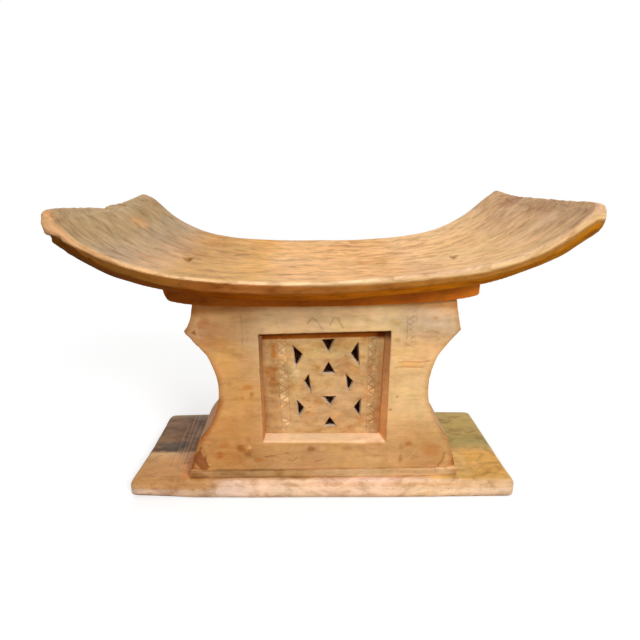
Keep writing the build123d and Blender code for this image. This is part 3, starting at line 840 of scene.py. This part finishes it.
    # stains
    tint.face_patches(-85, 12, (9, 9, 6), SUPPORT_PATCHES)
    tint.mix(bruise, (0.70, 0.54, 0.44))
    tint.mix(ring * ramp(noise(p, (5, 5, 5), 47), -0.7, 0.1), (1.14, 1.22, 1.30))
    tint.mix(left_toe, (0.56, 0.41, 0.42))
    tint.patch((-148.5, -85, 43), (2.4, 9, 2.0), (1.7, 1.9, 2.2), 0.9, 93, 6)
    tint.mix(left_line * ramp(noise(p, (6, 6, 6), 49), -0.9, 0.1), (0.42, 0.28, 0.20))
    tint.mix(right_toe, (1.10, 1.16, 1.20))
    tint.mix(right_line, (0.62, 0.60, 0.44))
    tint.mix(scratch * face, (1.22, 1.20, 1.18))
    tint.mix(cut * 1.2, (0.62, 0.58, 0.62))
    tint.mix(face * line, (0.72, 0.52, 0.30))
    tint.mix(face * crack * ramp(noise(p, (7, 7, 7), 50), -0.7, 0.1), (0.46, 0.34, 0.26))
    # the reveals: the right one reddish, with painted shade over its upper part, darkest in its top
    # corner, and a painted dark line along its outer arris; the left one greyish and darker towards
    # the top; the sill and its front lip painted paler as highlights; the head in painted shade
    reveal = span(y, -84.2, -83.2, -73, -71) * outer
    right = reveal * span(x, 66, 69, 81, 84) * ramp(-n[:, 0], 0.3, 0.6)
    tint.mixes(right, (
        (ramp(z, 130, 190), (0.74, 0.76, 0.80)),
        (ramp(z, 208, 217), (0.25, 0.16, 0.12)),
        (0.8 + 0.2 * cloud, (1.08, 0.74, 0.535)),
        (ramp(y, -82, -84), (0.80, 0.66, 0.52)),
    ))
    left = reveal * span(-x, 66, 69, 81, 84) * ramp(n[:, 0], 0.3, 0.6)
    tint.mix(left * ramp(z, 120, 215), (0.58, 0.52, 0.54))
    tint.mix(left, (0.84, 0.74, 0.66))
    sill = reveal * ramp(n[:, 2], 0.3, 0.6) * ramp(np.abs(x), 84, 80) * ramp(z, 88, 85)
    tint.mix(sill, (1.30, 1.58, 2.34))
    lip = outer * ramp(y, -82.6, -83.8) * ramp(np.abs(z - 76.0 + 0.9 * x / 79), 2.0, 0.8)
    tint.mix(lip * ramp(np.abs(x), 80, 76), (1.35, 1.46, 1.62))
    top = reveal * ramp(-n[:, 2], 0.3, 0.6) * ramp(z, 214, 218) * ramp(np.abs(x), 84, 80)
    tint.mix(top, (0.36, 0.20, 0.10))
    tint.mix(1 - outer, (1.3, 0.9, 0.6))
    return piece, tint.value


# ------------------------------------------------------------------ panels

PANEL_BOX = (-80.8, 80.8, 74.4, 224.4)
PANEL_BACK = -62.5
FRONT_TRIANGLES = [
    [(-4.4, 210.6), (13.9, 211.1), (5.8, 191.4)],
    [(-39.6, 204.6), (-25.2, 191.0), (-35.6, 171.2)],
    [(42.8, 208.5), (32.4, 191.2), (45.0, 172.4)],
    [(5.9, 182.1), (-3.2, 164.4), (14.9, 164.9)],
    [(-18.6, 166.4), (-25.6, 154.5), (-14.9, 135.0)],
    [(26.6, 166.0), (37.6, 154.2), (30.1, 135.9)],
    [(-2.2, 134.0), (16.6, 134.4), (8.1, 119.4)],
    [(-35.2, 130.9), (-24.0, 118.2), (-32.8, 102.2)],
    [(47.5, 131.8), (37.2, 117.2), (47.0, 102.5)],
    [(7.5, 105.7), (-0.6, 91.4), (17.5, 91.5)],
]
# each chip-carved band: its middle line, and half its width
FRONT_BANDS = ((((-52.2, 213), (-48.4, 90)), 5.6), (((59.5, 215), (59.8, 87)), 4.8))
BACK_BANDS = ((((-51.5, 213), (-50.0, 90)), 5.4), (((58.5, 213), (59.5, 88)), 5.0))
LAYOUT_LINES = ([(-27, 190), (5, 197), (34, 193)], [(-39, 176), (-24, 166)], [(44, 176), (28, 166)],
                [(-16, 139), (-33, 131)], [(29, 140), (46, 132)])
CHIP_PITCH = 5.6
CHAMFER_DEPTH = 3.4
BACK_SEED = 91
# stains of the front panel, as in SUPPORT_PATCHES
PANEL_PATCHES = (
    (-61.5, 194, 5.5, 9, (0.92, 0.62, 0.32), 0.9, 101),
    (-65, 168, 9, 12, (0.86, 0.58, 0.38), 0.8, 102),
    (-63, 154, 7, 9, (0.84, 0.60, 0.36), 0.8, 103),
    (-51, 208, 4, 3, (0.66, 0.46, 0.36), 0.6, 104),
    (-40, 169, 14, 10, (1.06, 1.18, 1.24), 0.9, 105),
    (-36, 150, 10, 16, (1.02, 1.12, 1.12), 0.8, 106),
    (-22, 196, 16, 10, (1.0, 1.03, 0.94), 0.7, 114),
    (-28, 174, 6, 5, (0.92, 0.86, 0.56), 0.7, 115),
    (-10, 172, 10, 6, (0.92, 0.84, 0.60), 0.6, 116),
    (58, 140, 12, 18, (1.02, 0.88, 0.76), 0.7, 117),
    (-20, 120, 16, 12, (1.02, 0.98, 0.92), 0.6, 118),
    (22, 180, 14, 9, (0.84, 0.72, 0.66), 0.6, 107),
    (36, 168, 14, 7, (0.88, 0.72, 0.52), 0.6, 108),
    (8, 148, 18, 8, (1.03, 1.09, 1.02), 0.7, 109),
    (20, 195, 12, 8, (0.98, 1.02, 1.0), 0.6, 110),
    (-12, 188, 10, 10, (1.03, 1.02, 0.88), 0.6, 111),
    (59, 175, 7, 26, (0.80, 0.66, 0.58), 0.6, 112),
    (-14, 110, 12, 4, (0.92, 0.76, 0.54), 0.6, 113),
)


def cad_triangles():
    """The regular pattern of the CAD panel, each point moved a little."""
    random = np.random.default_rng(BACK_SEED)
    triangles = []
    for rise in (40.0, -33.0):
        for way in (-1, 1):
            edge = way * 40.3
            triangles.append([(edge, rise - 14), (edge, rise + 14), (edge - way * 9, rise)])
            level = rise + way * 21
            triangles.append([(-7.8, level), (7.8, level), (0, level - way * 12.5)])
    for way in (-1, 1):
        edge = way * 22.6
        triangles.append([(edge, -11), (edge, 12), (edge + way * 9, 1)])
    return [[(5.5 + a + random.uniform(-0.9, 0.9), 149.4 + b + random.uniform(-0.9, 0.9))
             for a, b in triangle] for triangle in triangles]


def prism(bm, outline, stations):
    """Closed prism on a triangle, its sides set in by so much at each (y, inset) station."""
    corners = np.array(outline)
    sides = np.array([np.linalg.norm(corners[(k + 1) % 3] - corners[(k + 2) % 3]) for k in range(3)])
    centre = sides @ corners / sides.sum()
    (ax, az), (bx, bz) = corners[1] - corners[0], corners[2] - corners[0]
    radius = abs(ax * bz - az * bx) / sides.sum()
    rings = [[bm.verts.new((a * MM, y * MM, b * MM))
              for a, b in centre + (corners - centre) * (1 - inset / radius)]
             for y, inset in stations]
    bm.faces.new(rings[0])
    bm.faces.new(rings[-1][::-1])
    for near, far in zip(rings[:-1], rings[1:]):
        for k in range(3):
            m = (k + 1) % 3
            bm.faces.new((near[k], far[k], far[m], near[m]))


def pierced_board(name, triangles, voxel, chamfer):
    """The board, with holes whose sides run in by chamfer near its face."""
    x0, x1, z0, z1 = PANEL_BOX
    bm = bmesh.new()
    bmesh.ops.create_cube(bm, size=1.0)
    for v in bm.verts:
        v.co = [MM * at for at in (x1 if v.co.x > 0 else x0,
                                   PANEL_BACK if v.co.y > 0 else PANEL_FACE,
                                   z1 if v.co.z > 0 else z0)]
    board = bpy.data.meshes.new(name)
    bm.to_mesh(board)
    bm.free()
    bm = bmesh.new()
    for triangle in triangles:
        prism(bm, triangle, ((PANEL_FACE - 1.0, -chamfer / CHAMFER_DEPTH),
                             (PANEL_FACE + CHAMFER_DEPTH, chamfer), (PANEL_BACK + 1.0, chamfer)))
    bmesh.ops.recalc_face_normals(bm, faces=bm.faces)
    cutters = bpy.data.meshes.new(name + "_cutters")
    bm.to_mesh(cutters)
    bm.free()
    cutter = linked(name + "_cutters", cutters)
    carrier = linked(name + "_board", board)
    pierce = carrier.modifiers.new("pierce", "BOOLEAN")
    pierce.operation = "DIFFERENCE"
    pierce.solver = "EXACT"
    pierce.object = cutter
    mesh = evaluated_mesh(carrier)
    bpy.data.objects.remove(carrier)
    bpy.data.objects.remove(cutter)
    return fine(mesh, voxel, name)


def chip_band(p, line, half, seed):
    """A worn chip-carved band between two scored lines, as (scores, zigzag, flecks)."""
    (xa, za), (xb, zb) = line
    x, _, z = p.T
    t = (z - za) / (zb - za)
    across = (x + 0.8 * fractal(p, (30, 9, 7), seed) - xa - (xb - xa) * t) / half
    rise = z + 1.8 * fractal(p, (12, 9, 9), seed + 1)
    inside = span(t, -0.01, 0.01, 0.99, 1.01) * ramp(np.abs(across), 1.25, 1.1)
    scores = vee(np.abs(np.abs(across) - 1.0) * half, 0.8)
    # a zigzag, with pale chips left in some of its turns
    turn = 0.78 * (2 * np.abs((rise / CHIP_PITCH) % 2.0 - 1) - 1)
    off = np.abs(across - turn) * half * 0.75
    zigs = vee(off, 1.0) * ramp(np.abs(across), 0.95, 0.8)
    flecks = ramp(off, 0.9, 1.5) * ramp(np.abs(across), 0.92, 0.75) \
        * ramp(noise(p, (4, 4, 4), seed + 2), 0.05, 0.3)
    return scores * inside, zigs * inside, flecks * inside


def make_panel(name, triangles, bands, seed, front):
    """A pierced panel; the back one is made facing front and then turned round."""
    piece = pierced_board(name, triangles, 0.62, 1.5 if front else 0.3)
    relax(piece, 1)
    p = points_of(piece)
    n = normals_of(piece)
    x, y, z = p.T
    face = ramp(n[:, 1], -0.5, -0.8) * ramp(y, PANEL_FACE + 0.8, PANEL_FACE + 0.4)
    wall = in_triangles(x, z, triangles, 1.6) * ramp(y, PANEL_FACE + 0.2, PANEL_FACE + 0.9)
    push = face * (0.16 * fractal(p, (30, 30, 11), seed) + 0.07 * fractal(p, (6, 6, 3), seed + 1))
    push += wall * 0.25 * fractal(p, (5, 5, 5), seed + 2)
    tint = Tint(p)
    cut = np.zeros(len(p))
    for line, half in bands:
        scores, zigs, flecks = chip_band(p, line, half, seed + 10)
        worn = ramp(noise(p, (9, 9, 7), seed + 3), -0.9, 0.2)
        push -= face * worn * (0.3 * scores + 0.5 * zigs)
        spots = ramp(noise(p, (4, 4, 4), seed + 8), 0.3, 0.7) * ramp(np.abs(x - line[0][0]), 6, 4)
        cut = np.maximum.reduce([cut, face * worn * 0.5 * scores, face * worn * 0.7 * zigs,
                                 face * worn * 0.7 * spots])
        tint.mix(face * flecks * (0.5 + 0.5 * ramp(z, 180, 130)), (1.32, 1.44, 1.64))
    # thin layout lines scored between the piercings
    scored = 0.125 * cuts(x, z, 0.7, *LAYOUT_LINES) * face
    push -= scored
    cut = np.maximum(cut, scored)
    q = p + n * push[:, None]
    set_points(piece, q)
    cloud = fractal(p, (28, 28, 18), seed + 5)
    small = fractal(p, (9, 9, 7), seed + 7)
    dirt = fractal(p, (14, 14, 8), seed + 9)
    tint.mixes(face, (
        (ramp(z + 10 * cloud, 170, 130), (1.06, 1.0, 0.98)),
        (ramp(z + 10 * cloud, 160, 200), (0.96, 1.02, 1.04)),
        (1, (0.90, 0.91, 0.92)),
        (ramp(x, 50, 64), (0.73, 0.73, 0.72)),
        (ramp(x, -50, -64), (0.80, 0.75, 0.67)),
        (ramp(small, 0.0, 0.4), (1.05, 0.97, 0.84)),
        (ramp(-small, 0.0, 0.4), (1.04, 1.08, 1.02)),
        (ramp(dirt, 0.05, 0.5), (0.86, 0.74, 0.58)),
        (ramp(-dirt, 0.05, 0.5), (1.10, 1.10, 1.08)),
    ))
    tint.mix(cut, (0.54, 0.48, 0.47))
    # the hole walls: pale and greyish, lighter where they face up as painted light, with painted
    # shade where they face down and deeper in
    tint.mixes(wall, (
        (1, (0.80, 1.02, 1.66)),
        (ramp(n[:, 2], 0.65, 0.9), (1.15, 1.2, 1.3)),
        (ramp(n[:, 2], 0.1, -0.15), (0.42, 0.30, 0.20)),
        (ramp(y, -70.6, -69.4), (0.16, 0.10, 0.06)),
    ))
    tint.mix(ramp(y, -64, -63) * ramp(n[:, 1], 0.5, 0.8), (1.2, 0.9, 0.6))
    if front:
        tint.face_patches(PANEL_FACE, 9, 6.0, PANEL_PATCHES)
        # painted shadow of the window's head across the top, darkest in its right corner, with
        # painted shade below it and beside the right reveal, and darker along the left edge
        edge = 212 + 1.6 * x / 75 + 0.5 * fractal(p, (18, 18, 18), seed + 6)
        tint.mixes(face, (
            (ramp(z - edge, -1, 1.5), (0.44, 0.19, 0.035)),
            (ramp(z, 200, 213), (0.94, 0.88, 0.84)),
            (ramp(z, 208, 214) * ramp(x, 62, 68), (0.42, 0.26, 0.2)),
            (ramp(x, 62, 70) * ramp(z, 218, 190), (0.86, 0.70, 0.58)),
            (ramp(x, -69, -74), (0.86, 0.74, 0.66)),
        ))
    else:
        set_points(piece, q * [-1, -1, 1])
    return piece, tint.value


# ------------------------------------------------------------------ plinth and base


def make_plinth():
    piece, p, n = begin("plinth", 1.1, 1)
    x, y, z = p.T
    side = ramp(np.maximum(np.abs(x) - 172, np.abs(y) - 84), 0, 1.5)
    push = side * (0.35 * fractal(p, (24, 18, 9), 121) + 0.12 * fractal(p, 5, 122))
    push -= side * 1.1 * ramp(fractal(p, (14, 9, 7), 123), 0.35, 0.75) * ramp(z, 29, 35)
    set_points(piece, p + n * push[:, None])
    tint = Tint(p)
    cloud = fractal(p, (40, 20, 12), 124)
    # the sides darker on the left, as dirt with painted shade, and more so along the foot
    tint.mix(side * ramp(x + 30 * cloud, 60, -80), (0.67, 0.63, 0.56))
    tint.mix(side * ramp(x + 30 * cloud, -20, 60), (0.87, 0.91, 0.97))
    tint.patch((-164, -88, 29), (14, 9, 6), (0.72, 0.62, 0.52), 0.9, 126, 8)
    tint.patch((-120, -88, 31), (24, 9, 4), (0.80, 0.74, 0.66), 0.8, 127, 8)
    tint.mix(side * ramp(z, 30, 25) * ramp(x, 40, -40), (0.72, 0.62, 0.54))
    tint.mix(side * ramp(np.abs(x), 160, 172), (0.80, 0.72, 0.66))
    tint.mix(ramp(z, 33.6, 35) * ramp(x, 60, -80), (0.70, 0.62, 0.55))
    tint.mix(side * ramp(z, 31, 26) * ramp(x, -20, 60), (1.10, 1.16, 1.24))
    # pale front lips of the top beside the toes: chipped, and painted as highlights where light
    # catches them
    chipped_lip_highlights = ramp(z, 33, 35.5) * ramp(-y, 80, 84)
    chipped_lip_highlights = chipped_lip_highlights * np.maximum(ramp(x, -149, -152), ramp(x, 146, 149))
    tint.mix(chipped_lip_highlights * ramp(noise(p, (9, 9, 9), 125), -0.8, -0.1), (1.45, 1.50, 1.60))
    return piece, tint.value


BASE_HALF_LENGTH = 247
PLINTH_HALF = (176, 89)
BASE_GROOVES = (
    [(-205.3, 86), (-200.0, -14.9), (-197.8, -57.7)],
    [(-198.8, 88), (-195.7, -15.0), (-194.0, -64.8)],
    [(-190.6, 88), (-190.0, -17.7), (-189.2, -62.6)],
    [(-211, 60), (-207.8, -36.0), (-206.2, -59.7)],
)


def make_base():
    piece, p, n = begin("base", 1.4, 2)
    x, y, z = p.T
    top = ramp(n[:, 2], 0.7, 0.95)
    under = ramp(n[:, 2], -0.7, -0.95)
    side = (1 - top) * (1 - under)
    push = 0.30 * fractal(p, (60, 30, 20), 131) * (1 - under)
    push += side * (0.45 * fractal(p, (28, 20, 10), 132) + 0.12 * fractal(p, 6, 133))
    arris = ramp(z, 6, 0.5) * side
    push -= arris * 1.6 * ramp(fractal(p, (16, 10, 8), 134), 0.25, 0.7)
    groove = cuts(x, y, 1.3, *BASE_GROOVES) * top * (0.6 + 0.4 * noise(p, (12, 12, 12), 135))
    push -= 0.7 * groove
    q = p + n * push[:, None]
    qx, qy, qz = q.T    # views of q, as for the seat
    # out of square at the front
    qy -= ramp(-y, 20, 95) * np.where(x > 0, 6.4, 1.6) * x / BASE_HALF_LENGTH
    qx -= 4.5 * ramp(-y, -20, 90) * ramp(x, -215, -242)
    qx += 1.2 * ramp(-y, 40, 90) * ramp(x, 225, 242)
    # the upper arris of the front is worn round
    front_face = ramp(-y, 90, 97)
    qz -= 2.6 * ramp(-y, 86, 98) * ramp(z, 17, 24)
    high = np.clip((z - 11) / 14, 0, 0.98)
    qy += front_face * (5.0 * (1 - np.sqrt(1 - high ** 2)) + 1.8 * ramp(z, 8, 0))
    np.maximum(qz, 0.0, out=qz)
    qz += 4.0 * np.clip((-168 - x) / 72, 0, 1) * ramp(-y, 78, 97) * ramp(z, 14, 0)
    set_points(piece, q)
    tint = Tint(p)
    cloud = fractal(p, (44, 30, 20), 136)
    fine_cloud = fractal(p, (16, 9, 9), 137)
    # scorched and grey at the back left, olive at the back right
    on_left, on_right = ramp(x, -120, -160), ramp(x, 120, 160)
    grey = on_left * ramp(y + 5 * cloud + 3 * fine_cloud, -27, -17) * ramp(y, 97, 70)
    tint.mix(grey * (0.85 + 0.3 * fine_cloud), (0.245, 0.215, 0.25))
    tint.patch((-214, -5, 24), (22, 18, 12), (0.52, 0.74, 1.10), 0.9, 138)
    tint.patch((-196, -84, 24), (18, 7, 8), (0.86, 0.74, 0.52), 0.8, 140)
    tint.patch((-226, -74, 24), (16, 9, 8), (0.92, 0.84, 0.66), 0.7, 141)
    tint.patch((187, -52, 24), (12, 36, 8), (1.06, 1.22, 1.75), 0.9, 142)
    tint.patch((204, -60, 24), (7, 12, 8), (1.10, 1.16, 1.40), 0.8, 143, 7)
    tint.mix(on_left * ramp(y, 60, 86), (0.72, 0.80, 0.90))
    tint.mix(0.9 * on_right * ramp(y + 8 * cloud, -34, -8), (0.73, 0.96, 0.74))
    tint.mix(0.6 * on_right * ramp(np.abs(y - 2 + 6 * cloud), 16, 6), (0.70, 0.78, 0.80))
    tint.mix(on_left * ramp(y, -24, -50), (0.94, 0.80, 0.57))
    tint.mix(on_right * span(y, -93, -84, -40, -10), (1.16, 1.12, 0.66))
    # pale, rubbed front, darker towards its foot as painted shade
    front = ramp(y + 2 * fine_cloud, -84, -91)
    front = front * (1 - np.maximum(0.8 * ramp(x, 120, 165), ramp(x, -110, -160)) * ramp(z, 13, 18))
    tint.mix(ramp(-y, 86, 92) * (1 - under) * ramp(x, -110, -160), (0.86, 0.88, 1.02))
    tint.mixes(front, (
        (0.9 + 0.2 * fine_cloud, (1.29, 1.55, 2.56)),
        (ramp(x, 60, 140), (1.02, 0.99, 0.84)),
        (ramp(x, -80, -190), (1.02, 1.12, 1.26)),
        (ramp(z, 11, 2) * (0.8 + 0.4 * cloud), (0.84, 0.78, 0.72)),
        (ramp(z, 3.5, 0.5), (0.60, 0.52, 0.48)),
    ))
    tint.mix(ramp(x, -225, -243) * side, (1.0, 1.06, 1.2))
    tint.mix(groove, (0.62, 0.58, 0.58))
    # light catches the right lips of the grooves
    lip = cuts(x - 2.0, y, 1.3, *BASE_GROOVES) * top * ramp(noise(p, (14, 30, 14), 139), -0.8, 0.1)
    tint.mix(lip * ramp(y, -28, -16), (1.7, 1.85, 2.1))
    tint.mix(lip * ramp(y, -16, -28), (1.12, 1.20, 1.42))
    tint.mix(under, (0.62, 0.56, 0.50))
    # round the foot of the plinth: painted shade on the left and middle, an orange stain beside its
    # left end, and painted light on the right
    wide, deep = PLINTH_HALF
    near_foot = ramp(np.maximum(np.abs(x) - wide, np.abs(y) - deep), 7, 0) * top
    tint.mix(near_foot * span(x, -174, -166, -60, 40), (0.92, 0.86, 0.76))
    beside = ramp(-x - wide, 15, 3) * ramp(x, -166, -176) * span(y, -92, -80, -26, -14)
    tint.mix(beside * top * (0.9 + 0.3 * fine_cloud), (1.12, 0.72, 0.38))
    tint.mix(near_foot * ramp(x, -20, 60), (1.06, 1.14, 1.40))
    return piece, tint.value


# ------------------------------------------------------------------ build

finish_piece("seat", "seat_wood", *make_seat())
finish_piece("seat_cleat", "cleat_wood", *make_cleat())
finish_piece("support", "support_wood", *make_support())
finish_piece("front_panel", "front_panel_wood",
             *make_panel("front_panel_piece", FRONT_TRIANGLES, FRONT_BANDS, 141, True))
finish_piece("back_panel", "back_panel_wood",
             *make_panel("back_panel_piece", cad_triangles(), BACK_BANDS, 161, False))
finish_piece("plinth", "plinth_wood", *make_plinth())
finish_piece("base", "base_wood", *make_base())

# ------------------------------------------------------------------ stage, lights and camera

WHITE = (1, 1, 1, 1)
# position, what it points at, size in metres, and watts
LAMPS = {
    "key": ((0.80, -1.75, 1.32), (0.0, 0.0, 0.18), 0.7, 33.0),
    "front": ((-0.45, -1.95, 0.42), (0.0, 0.0, 0.2), 1.1, 8.0),
    "top": ((-0.1, -0.25, 2.1), (0.0, 0.0, 0.2), 1.0, 6.0),
    "rear": ((-0.5, 1.7, 1.2), (0.0, 0.0, 0.2), 1.4, 12.0),
}
# fitted to the photo
LENS, SENSOR = 28.125, 36.0                                   # millimetres
CAMERA_PLACE = (-0.01708, -0.65157, 0.41177)
LOOK_DOWN, ROLL, TURN = 16.965, 0.037, -1.236                 # degrees


def seen_by_camera(tree, path):
    """1 for what the camera sees directly, in a gloss or through glass."""
    seen = path.outputs["Is Camera Ray"]
    for ray in ("Is Glossy Ray", "Is Transmission Ray"):
        seen = reckon(tree, "Math", "MAXIMUM", seen, path.outputs[ray])
    return seen


def make_floor():
    """A wide pale floor that holds the object's shadow and is white further out."""
    mesh = bpy.data.meshes.new("floor")
    reach = 12.0
    mesh.from_pydata([(-reach, -reach, 0), (reach, -reach, 0), (reach, reach, 0), (-reach, reach, 0)],
                     [], [(0, 1, 2, 3)])
    floor = linked("floor", mesh)
    material, tree = shader_nodes("floor_pale")
    seen = seen_by_camera(tree, add(tree, "LightPath"))
    place = add(tree, "TexCoord").outputs["Object"]
    away = add(tree, "VectorMath", {0: place}, operation="LENGTH").outputs["Value"]
    far = remap(tree, away, 0.45, 1.1, 0.0, 1.0, interpolation_type="SMOOTHSTEP")
    shown = mix_colour(tree, seen, (0.30, 0.29, 0.28), (0.55, 0.55, 0.55))
    diffuse = add(tree, "BsdfDiffuse", {"Color": shown}).outputs[0]
    glow = reckon(tree, "Math", "MULTIPLY", seen, 0.62)
    lift = add(tree, "Emission", {"Color": WHITE, "Strength": glow}).outputs[0]
    near = add(tree, "AddShader", {0: diffuse, 1: lift}).outputs[0]
    white = add(tree, "Emission", {"Color": WHITE, "Strength": seen}).outputs[0]
    both = add(tree, "MixShader", {0: far, 1: near, 2: white}).outputs[0]
    add(tree, "OutputMaterial", {0: both})
    mesh.materials.append(material)


def make_world():
    world = bpy.data.worlds.new("studio")
    bpy.context.scene.world = world
    world.use_nodes = True
    tree = world.node_tree
    tree.nodes.clear()
    seen = seen_by_camera(tree, add(tree, "LightPath"))
    fill = add(tree, "Background", {"Color": (1.0, 0.985, 0.96, 1), "Strength": 0.27})
    white = add(tree, "Background", {"Color": WHITE, "Strength": 1.0})
    both = add(tree, "MixShader", {0: seen, 1: fill.outputs[0], 2: white.outputs[0]})
    add(tree, "OutputWorld", {0: both.outputs[0]})


def area_light(name, place, target, size, power):
    light = bpy.data.lights.new(name, "AREA")
    light.shape = "DISK"
    light.size = size
    light.energy = power
    lamp = linked(name, light)
    lamp.location = place
    lamp.rotation_euler = (Vector(target) - Vector(place)).to_track_quat("-Z", "Y").to_euler()


make_floor()
make_world()
for name, settings in LAMPS.items():
    area_light(name, *settings)

camera = linked("camera", bpy.data.cameras.new("camera"))
camera.data.lens = LENS
camera.data.sensor_width = SENSOR
camera.data.clip_start = 0.05
camera.location = CAMERA_PLACE
camera.rotation_euler = [math.radians(angle) for angle in (90 - LOOK_DOWN, ROLL, TURN)]
bpy.context.scene.camera = camera
bpy.context.scene.view_settings.view_transform = "Standard"
